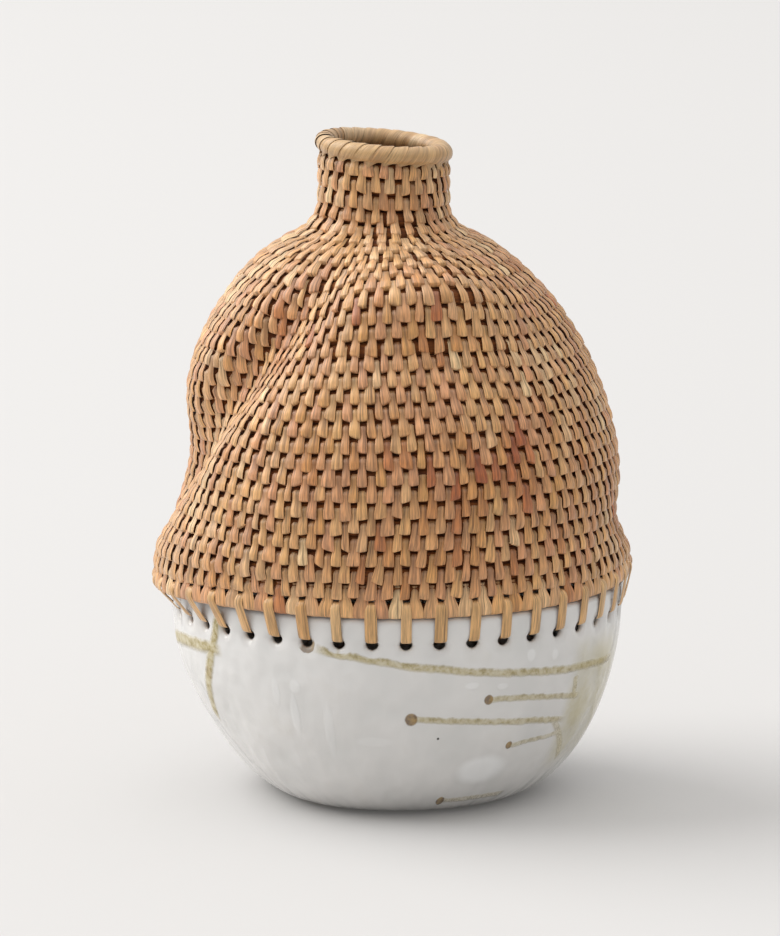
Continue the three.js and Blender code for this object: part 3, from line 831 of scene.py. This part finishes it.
# Mouth: a ring bound with broad strips that cross it on a slant
binding = {
    "count": 25,
    "skew": -13.0,
    "half": 0.7128,  # share of the pitch
    "spread": 0.07,
    "shingle": 0.85,
    "lift": 0.15,
    "liftSpread": 0.06,
    "edge": 0.25,
    "tip": 2.4,
    "tipOut": 0.35,
    "tipSpread": 0.4,
    "startTurn": 235.0,
    "endTurn": -52.0,
    "tone": 0.55,
    "toneSpread": 0.2,
    "grassIn": 0.35,
}
bindingLook = dict(stitchLook, width=7.0, length=30.0, patch=0.15, streakDark=0.74, streakLight=1.14)
bindingLook["shade"] = 0.8
bindingLook["tones"] = [(0.0, "#b98a56"), (0.35, "#cfa873"), (0.6, "#c49a66"), (1.0, "#e3c598")]
mouthLeaf = leafMaterial("leaf strip, bound", bindingLook)


def ringPoint(angle, turn, grow):
    low, high, share = angleShare(angle)
    seat = mix(mouthTable[low], mouthTable[high], share[..., None])
    outward = (vase["mouthRingWidth"] / 2 + grow) * np.cos(turn)
    upward = (vase["mouthRingHeight"] / 2 + grow) * np.sin(turn)
    radius = seat[..., 0] + seat[..., 2] * outward - seat[..., 3] * upward
    height = seat[..., 1] + seat[..., 3] * outward + seat[..., 2] * upward
    return radius, height


def mouthPieces():
    mesh, u, v = copiesOfGrid("mouth_grass", 12, 96, 1)
    angle = v * 2 * math.pi
    radius, height = ringPoint(angle, u * math.pi, -binding["grassIn"])
    closeTube(addPiece(mesh, place(radius, height, angle), grass, ["mouth_ring"]))
    count = binding["count"]
    mesh, u, s = copiesOfGrid("mouth_strips", 6, 24, count)
    tones = np.clip(dice.normal(binding["tone"], binding["toneSpread"], count), 0, 1)
    start = np.arange(count) * 2 * math.pi / count
    u, s = u[None, :], s[None, :]
    size = dice.normal(1, binding["spread"], count)[:, None]
    wrap = np.minimum(s / 0.9, 1)
    turn = np.radians(mix(binding["startTurn"], binding["endTurn"], wrap))
    taper = 1 - 0.9 * smooth(s, 0.84, 1.0)
    pitch = 2 * math.pi * (vase["mouthRadius"] - vase["mouthRingWidth"] / 2) / count
    across = u * binding["half"] * pitch * taper * size
    along = binding["skew"] * (s - 0.5)
    grow = binding["lift"] + binding["shingle"] * (u + 1) / 2 * taper
    grow = grow - binding["edge"] * smooth(np.abs(u), 0.85, 1)
    grow = grow + dice.normal(0, binding["liftSpread"], count)[:, None]
    angle = start[:, None] + (across + along) / (vase["mouthRadius"] - vase["coilDepth"] / 2)
    radius, height = ringPoint(angle, turn, grow)
    tip = binding["tip"] * (1 + binding["tipSpread"] * dice.normal(0, 1, count)[:, None])
    height = height - tip * smooth(s, 0.9, 1)
    radius = radius + binding["tipOut"] * smooth(s, 0.9, 1)
    setTone(mesh, tones, u.shape[1])
    addPiece(mesh, place(radius, height, angle), mouthLeaf)


mouthPieces()
print("mouth bound")

# Bowl: thrown stoneware with a row of holes under its rim
bowl = {
    "footRadius": 50.0,
    "wall": 5.5,
    "floor": 7.0,
    "lip": 1.6,
    "holeCage": 2.35,
    "wallFrom": 90.0,
    "columns": 3 * vase["lacingCount"],
    "flat": {"angle": -72, "rise": 20, "along": 55, "across": 30, "slant": 0},
    "flatDepth": 7.0,
}
# Olive runs: both ends as degrees round and millimetres up, bend and half width in millimetres
glazeRuns = [
    {"start": (-22, 85.2), "end": (78, 66), "bend": -3.6, "half": 1.5, "strength": 0.85},
    {"start": (24.4, 59.8), "end": (58, 53.5), "bend": 1.0, "half": 1.15, "strength": 0.75},
    {"start": (3.7, 52.2), "end": (54, 43.5), "bend": 0.6, "half": 1.25, "strength": 0.8},
    {"start": (33.3, 36.0), "end": (53, 38.0), "bend": -0.5, "half": 0.9, "strength": 0.6},
    {"start": (15.6, 8.6), "end": (42, 9.0), "bend": 0.0, "half": 1.1, "strength": 0.5},
    {"start": (-92, 69.5), "end": (-50, 77.0), "bend": 1.8, "half": 2.6, "strength": 0.95},
    {"start": (-50, 96.5), "end": (-68.5, 37), "bend": 2.5, "half": 2.3, "strength": 0.95},
    {"start": (53.5, 64), "end": (54.5, 53), "bend": 0.0, "half": 1.4, "strength": 0.6},
    {"start": (48, 45), "end": (60, 22), "bend": 0.6, "half": 1.6, "strength": 0.5},
]
# Painted highlights, pale spots and streaks on the glaze: degrees round, height, half width, half height,
# strength
glazeHighlights = [
    (26.5, 24.5, 14.0, 7.0, 0.8),
    (19.4, 67, 3.4, 1.8, 0.4),
    (28, 65.5, 2.8, 1.5, 0.4),
    (-27, 65.5, 2.6, 3.0, 0.3),
    (-28, 51, 2.2, 10.0, 0.3),
    (-18.5, 46, 2.4, 13.0, 0.25),
    (-33, 62, 2.0, 6.0, 0.25),
    (-6, 41, 9.0, 2.2, 0.18),
    (36, 79, 2.2, 3.5, 0.4),
    (44, 77, 2.0, 3.0, 0.4),
]
# Beads where a run began: degrees round, height, radius, strength
glazeBeads = [
    (-23.2, 86.0, 2.6, 0.7),
    (24.4, 59.8, 2.4, 0.85),
    (3.7, 52.2, 3.1, 0.85),
    (33.3, 36.0, 1.9, 0.85),
    (15.6, 8.6, 2.6, 0.85),
    (-58.5, 64, 3.2, 0.3),
]


# Colours of the glaze, and its sizes in millimetres of the wall round the rim and up from the foot
glaze = {
    "clouds": {"slow": (26.0, 2.0), "edge": (3.2, 3.0), "grain": (0.9, 2.0)},  # size and detail
    "wobble": 2.2,
    "rough": 1.6,
    "pale": [(0.25, "#dfdedb"), (0.6, "#eae8e5"), (0.85, "#e3e0da")],
    "olive": [(0.3, "#94803a"), (0.5, "#b5a25c"), (0.75, "#cdbf88")],
    "bead": [(0.38, "#6a4a10"), (0.6, "#a37f30")],
    # colour of the painted highlights
    "highlight": "#fbfbfa",
    "wash": "#c9bd8a",
    "washAround": (90.0, 101.0, 130.0, 165.0),
    "washUp": (14.0, 34.0, 66.0, 86.0),
    "rim": "#98833f",
    "pinhole": "#4a4640",
    "pinholePlace": (11.2, 42.4),
    "foot": "#b09a7c",
    "footTop": 1.6,
    "relief": 4.5,
}
degreeLength = math.radians(1) * vase["rimRadius"]


# Share of one olive run at each point, and of its darker rims
def glazeRun(tree, uv, loose, run):
    start, end = (Vector((turn * degreeLength, up, 0)) for turn, up in (run["start"], run["end"]))
    ahead = end - start
    side = Vector((-ahead.y, ahead.x, 0)).normalized()
    away = addNode(tree, "VectorMath", (uv, start), operation="SUBTRACT")
    along = addNode(tree, "VectorMath", (away, ahead / ahead.length ** 2), "Value", operation="DOT_PRODUCT")
    across = addNode(tree, "VectorMath", (away, side), "Value", operation="DOT_PRODUCT")
    left = addNode(tree, "Math", (1.0, along), operation="SUBTRACT")
    arch = addNode(tree, "Math", (along, left), **times)
    bent = addNode(tree, "Math", (arch, -4 * run["bend"], across), **timesPlus)
    off = addNode(tree, "Math", (addNode(tree, "Math", (bent, loose), **plus),), operation="ABSOLUTE")
    half = run["half"]
    mask = addNode(tree, "MapRange", (off, half * 1.7, half * 0.5, 0.0, run["strength"]), **eased)
    for low, high in ((-0.01, 0.05), (1.0, 0.9)):
        mask = addNode(tree, "Math", (mask, addNode(tree, "MapRange", (along, low, high), **eased)), **times)
    beside = addNode(tree, "MapRange", (off, half * 0.35, half), **eased)
    return mask, addNode(tree, "Math", (mask, beside), **times)


# Stoneware, thrown and glazed: a pale, glassy coat, uneven from the hand, with olive ash runs that sit on it,
# and pale spots and streaks painted on as highlights
def glazeMaterial():
    material, tree, shader = newMaterial("stoneware, thrown and glazed")
    uv = addNode(tree, "UVMap", uv_map="wallPlace")
    cloud = {}
    for name, (size, detail) in glaze["clouds"].items():
        spread = addNode(tree, "Mapping", {"Vector": uv, "Scale": (1 / size, 1 / size, 1)})
        inputs = {"Vector": spread, "Scale": 1.0, "Detail": detail, "Roughness": 0.5}
        cloud[name] = addNode(tree, "TexNoise", inputs, "Fac")
    slow, edge, grain = cloud["slow"], cloud["edge"], cloud["grain"]
    wobble = addNode(tree, "Math", (slow, glaze["wobble"], -glaze["wobble"] / 2), **timesPlus)
    rough = addNode(tree, "Math", (edge, glaze["rough"], -glaze["rough"] / 2), **timesPlus)
    loose = addNode(tree, "Math", (wobble, rough), **plus)
    runs, rims, beads, highlights = 0.0, 0.0, 0.0, 0.0
    for run in glazeRuns:
        mask, rim = glazeRun(tree, uv, loose, run)
        runs = addNode(tree, "Math", (runs, mask), **largest)
        rims = addNode(tree, "Math", (rims, rim), **largest)
    for turn, height, size, strength in glazeBeads:
        middle = (turn * degreeLength, height, 0)
        far = addNode(tree, "VectorMath", (uv, middle), "Value", operation="DISTANCE")
        far = addNode(tree, "Math", (rough, 0.4, far), **timesPlus)
        bead = addNode(tree, "MapRange", (far, size * 1.1, size * 0.8, 0.0, strength), **eased)
        beads = addNode(tree, "Math", (beads, bead), **largest)
    colour = addNode(tree, "ValToRGB", (slow,), stops=glaze["pale"])
    # Painted highlights: pale spots and streaks mixed into the colour, and raised a little in the relief
    for turn, height, wide, tall, strength in glazeHighlights:
        shift = (-turn * degreeLength / wide, -height / tall, 0)
        inHighlight = addNode(tree, "Mapping", {"Vector": uv, "Scale": (1 / wide, 1 / tall, 1), "Location": shift})
        far = addNode(tree, "VectorMath", (inHighlight,), "Value", operation="LENGTH")
        far = addNode(tree, "Math", (wobble, 0.15, far), **timesPlus)
        highlight = addNode(tree, "MapRange", (far, 1.25, 0.65, 0.0, strength), **eased)
        colour = addNode(tree, "Mix", {0: highlight, 6: colour, 7: linear(glaze["highlight"])}, **mixed)
        highlights = addNode(tree, "Math", (highlights, highlight), **largest)
    wallPlace = addNode(tree, "SeparateXYZ", (uv,)).node.outputs
    around, upward = wallPlace[0], wallPlace[1]
    left, leftFull, rightFull, right = glaze["washAround"]
    low, lowFull, highFull, high = glaze["washUp"]
    clouded = addNode(tree, "Math", (edge, 0.3, slow), **timesPlus)
    wash = addNode(tree, "MapRange", (clouded, 0.45, 0.8, 0.35, 0.7), **eased)
    limits = [
        (addNode(tree, "Math", (around, loose), **plus), left, leftFull),
        (around, right, rightFull),
        (upward, low, lowFull),
        (upward, high, highFull),
    ]
    for limit in limits:
        wash = addNode(tree, "Math", (wash, addNode(tree, "MapRange", limit, **eased)), **times)
    speckle = addNode(tree, "Math", (grain, 0.5, edge), **timesPlus)
    mottle = addNode(tree, "MapRange", (speckle, 0.5, 0.95, 1.0, 0.65), **eased)
    pinholePlace = (glaze["pinholePlace"][0] * degreeLength, glaze["pinholePlace"][1], 0)
    far = addNode(tree, "VectorMath", (uv, pinholePlace), "Value", operation="DISTANCE")
    footEdge = addNode(tree, "Math", (rough, 0.5, upward), **timesPlus)
    foot = addNode(tree, "MapRange", (footEdge, glaze["footTop"], glaze["footTop"] - 0.7), **eased)
    ash = addNode(tree, "Math", (runs, mottle), **times)
    coats = [
        (wash, linear(glaze["wash"])),
        (ash, addNode(tree, "ValToRGB", (edge,), stops=glaze["olive"])),
        (addNode(tree, "Math", (rims, 0.15), **times), linear(glaze["rim"])),
        (beads, addNode(tree, "ValToRGB", (edge,), stops=glaze["bead"])),
        (addNode(tree, "MapRange", (far, 0.75, 0.45), **eased), linear(glaze["pinhole"])),
        (foot, linear(glaze["foot"])),
    ]
    for share, coat in coats:
        colour = addNode(tree, "Mix", {0: share, 6: colour, 7: coat}, **mixed)
    tree.links.new(colour, shader.inputs["Base Color"])
    glassy = addNode(tree, "MapRange", (grain, 0.3, 0.7, 0.13, 0.2), **eased)
    matt = addNode(tree, "Math", (runs, foot), **largest)
    tree.links.new(addNode(tree, "Math", (matt, 0.22, glassy), **timesPlus), shader.inputs["Roughness"])
    raised = addNode(tree, "Math", (addNode(tree, "Math", (runs, beads), **largest), highlights), **largest)
    relief = addNode(tree, "Math", (raised, 0.12, slow), **timesPlus)
    bump = addNode(tree, "Bump", {"Strength": 0.8, "Distance": glaze["relief"] * metre, "Height": relief})
    tree.links.new(bump, shader.inputs["Normal"])
    return material


def bowlProfile():
    top, foot, rim, wall = vase["bowlHeight"], bowl["footRadius"], vase["rimRadius"], bowl["wall"]
    cage = bowl["holeCage"]
    heights = [holeHeight - cage, holeHeight, holeHeight + cage, top - bowl["lip"] * 2.2, top - bowl["lip"]]

    def outside(z):
        return foot + (rim - foot) * math.sqrt(max(0, 1 - ((top - z) / top) ** 2))

    def inside(z):
        deep = top - bowl["floor"]
        base = foot - wall / 2
        return base + (rim - wall - base) * math.sqrt(max(0, 1 - ((top - z) / deep) ** 2))

    steps = np.linspace(0, 1, 11)[:-1]
    limit = math.acos((top - heights[0]) / top)
    outer = [(foot * 0.5, 0.0), (foot - 4, 0.0), (foot, 0.25)]
    outer += [(outside(z), z) for z in (top * (1 - math.cos(limit * t)) for t in steps) if z > 0.8]
    outer += [(outside(z), z) for z in heights]
    lipTop = [(rim - bowl["lip"], top), (rim - wall / 2, top), (rim - wall + bowl["lip"], top)]
    inner = [(inside(z), z) for z in reversed(heights)]
    deep = top - bowl["floor"]
    limit = math.acos((top - heights[0]) / deep)
    lower = [top - deep * math.cos(limit * t) for t in reversed(np.linspace(0, 1, 9)[1:-1])]
    inner += [(inside(z), z) for z in lower]
    inner += [(foot - wall, bowl["floor"]), (foot * 0.5, bowl["floor"])]
    return [(0.0, 0.0)] + outer + lipTop + inner + [(0.0, bowl["floor"])]


def bowlPiece():
    bm = bmesh.new()
    start = math.radians(vase["lacingPhase"])
    across = Vector((math.sin(start), -math.cos(start), 0))
    points = [bm.verts.new((across * r + Vector((0, 0, z))) * metre) for r, z in bowlProfile()]
    edges = [bm.edges.new(pair) for pair in zip(points, points[1:])]
    whole = {"cent": (0, 0, 0), "axis": (0, 0, 1), "angle": 2 * math.pi, "use_merge": True}
    bmesh.ops.spin(bm, geom=points + edges, steps=bowl["columns"], **whole)
    bmesh.ops.remove_doubles(bm, verts=bm.verts, dist=1e-5)

    def turnOf(point):
        return math.atan2(point.x, -point.y)

    def holeOf(point):
        turn = (turnOf(point) - start) % (2 * math.pi) / lacingStep
        nearest = round(turn)
        return nearest % vase["lacingCount"], (turn - nearest) * lacingStep

    pierced = []
    for face in bm.faces:
        middle = face.calc_center_median()
        off = holeOf(middle)[1] * vase["rimRadius"]
        high = abs(middle.z / metre - holeHeight) < bowl["holeCage"]
        beside = abs(off) < lacingStep / 3 * vase["rimRadius"] * 0.9
        if high and beside and math.hypot(middle.x, middle.y) > bowl["wallFrom"] * metre:
            pierced.append(face)
    bmesh.ops.delete(bm, geom=pierced, context="FACES")
    holes = {}
    for edge in bm.edges:
        if edge.is_boundary:
            holes.setdefault(holeOf((edge.verts[0].co + edge.verts[1].co) / 2)[0], []).append(edge)
    for edges in holes.values():
        for vert in {v for edge in edges for v in edge.verts}:
            index, off = holeOf(vert.co)
            radius = math.hypot(vert.co.x, vert.co.y)
            flat = Vector((off * radius / metre, vert.co.z / metre - holeHeight))
            flat = flat.normalized() * bowl["holeCage"]
            turn = start + index * lacingStep + flat.x * metre / radius
            vert.co = (radius * math.sin(turn), -radius * math.cos(turn), (holeHeight + flat.y) * metre)
        bmesh.ops.bridge_loops(bm, edges=edges)
    for vert in bm.verts:
        radius = math.hypot(vert.co.x, vert.co.y)
        height = vert.co.z / metre
        fade = 1 - smooth(height, holeHeight / 2, vase["bowlHeight"] - 2 * vase["holeDrop"])
        share = float(fade * pushShare(bowl["flat"], 0, turnOf(vert.co), height))
        if radius > 0.001:
            vert.co.xy *= 1 - bowl["flatDepth"] * share * metre / radius
    bmesh.ops.recalc_face_normals(bm, faces=bm.faces)
    layer = bm.loops.layers.uv.new("wallPlace")
    for face in bm.faces:
        middle = turnOf(face.calc_center_median())
        for loop in face.loops:
            turn = (turnOf(loop.vert.co) - middle + math.pi) % (2 * math.pi) - math.pi + middle
            loop[layer].uv = (turn * vase["rimRadius"], loop.vert.co.z / metre)
    mesh = bpy.data.meshes.new("glazed_bowl")
    bm.to_mesh(mesh)
    bm.free()
    mesh.materials.append(glazeMaterial())
    mesh.shade_smooth()
    piece = bpy.data.objects.new("glazed_bowl", mesh)
    bpy.context.scene.collection.objects.link(piece)
    soften = piece.modifiers.new("soften", "SUBSURF")
    soften.levels = 2
    soften.render_levels = 2
    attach(piece, "root")
    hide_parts("ceramic_bowl")


bowlPiece()
print("bowl turned")

# Studio: a pale floor under a bright ceiling, soft light from the left and a little behind, and a long lens
studio = {
    "floor": "#c6c4c2",
    "floorShade": "#bebcb9",
    "clouding": 0.06,
    "glow": "#fdfcfa",
    "haze": 0.07,
    "floorHalf": 30.0,
    "horizon": 0.31,
    "ceiling": 1.22,
    "keyTurn": 17.0,
    "keyRise": 40.0,
    "keyPower": 470.0,
    "keySize": 7.6,
    "keyDistance": 7.0,
    "lens": 296.15,
    "distance": 3.5,
    "elevation": 10.8,
    "aim": (-0.0032, 0.0, 0.1477),
}


def studioPieces():
    bm = bmesh.new()
    bmesh.ops.create_grid(bm, x_segments=1, y_segments=1, size=studio["floorHalf"])
    mesh = bpy.data.meshes.new("floor")
    bm.to_mesh(mesh)
    bm.free()
    # Board painted matt: an even pale ground, barely clouded, that keeps the shadow soft
    material, tree, shader = newMaterial("board, painted matt")
    where = addNode(tree, "TexCoord", output="Object")
    cloud = addNode(tree, "TexNoise", {"Vector": where, "Scale": 3.0, "Detail": 2.0, "Roughness": 0.5}, "Fac")
    shade = addNode(tree, "Math", (cloud, studio["clouding"]), **times)
    tones = {0: shade, 6: linear(studio["floor"]), 7: linear(studio["floorShade"])}
    tree.links.new(addNode(tree, "Mix", tones, **mixed), shader.inputs["Base Color"])
    shader.inputs["Roughness"].default_value = 0.7
    shader.inputs["Emission Color"].default_value = linear(studio["glow"])
    ray = addNode(tree, "LightPath").node.outputs
    seen = addNode(tree, "Math", (ray["Is Glossy Ray"], ray["Is Transmission Ray"]), **largest)
    seen = addNode(tree, "Math", (ray["Is Camera Ray"], seen), **largest)
    haze = addNode(tree, "Math", (seen, studio["haze"]), **times)
    tree.links.new(haze, shader.inputs["Emission Strength"])
    mesh.materials.append(material)
    floor = bpy.data.objects.new("floor", mesh)
    bpy.context.scene.collection.objects.link(floor)
    world = bpy.data.worlds.new("studio")
    world.use_nodes = True
    tree = world.node_tree
    toward = addNode(tree, "TexCoord", output="Generated")
    upward = addNode(tree, "Math", (addNode(tree, "SeparateXYZ", (toward,), 2), 0.0), **largest)
    overhead = addNode(tree, "Math", (upward, 2.0), operation="POWER")
    glow = addNode(tree, "Math", (overhead, studio["ceiling"], studio["horizon"]), **timesPlus)
    tree.links.new(glow, tree.nodes["Background"].inputs["Strength"])
    tree.nodes["Background"].inputs["Color"].default_value = linear("#ffffff")
    bpy.context.scene.world = world
    key = bpy.data.objects.new("key", bpy.data.lights.new("key", "AREA"))
    key.data.energy = studio["keyPower"]
    key.data.shape = "DISK"
    key.data.size = studio["keySize"]
    turn, rise = math.radians(studio["keyTurn"]), math.radians(studio["keyRise"])
    source = Vector((-math.cos(turn) * math.cos(rise), math.sin(turn) * math.cos(rise), math.sin(rise)))
    key.location = source * studio["keyDistance"]
    key.rotation_euler = source.to_track_quat("Z", "Y").to_euler()
    bpy.context.scene.collection.objects.link(key)
    camera = bpy.data.objects.new("camera", bpy.data.cameras.new("camera"))
    camera.data.lens = studio["lens"]
    camera.data.sensor_width = 36.0
    tilt = math.radians(studio["elevation"])
    back = Vector((0, -math.cos(tilt), math.sin(tilt)))
    camera.location = Vector(studio["aim"]) + studio["distance"] * back
    camera.rotation_euler = (math.pi / 2 - tilt, 0, 0)
    camera.data.clip_end = 100.0
    bpy.context.scene.collection.objects.link(camera)
    bpy.context.scene.camera = camera
    bpy.context.scene.view_settings.view_transform = "Standard"


studioPieces()
print("studio set")
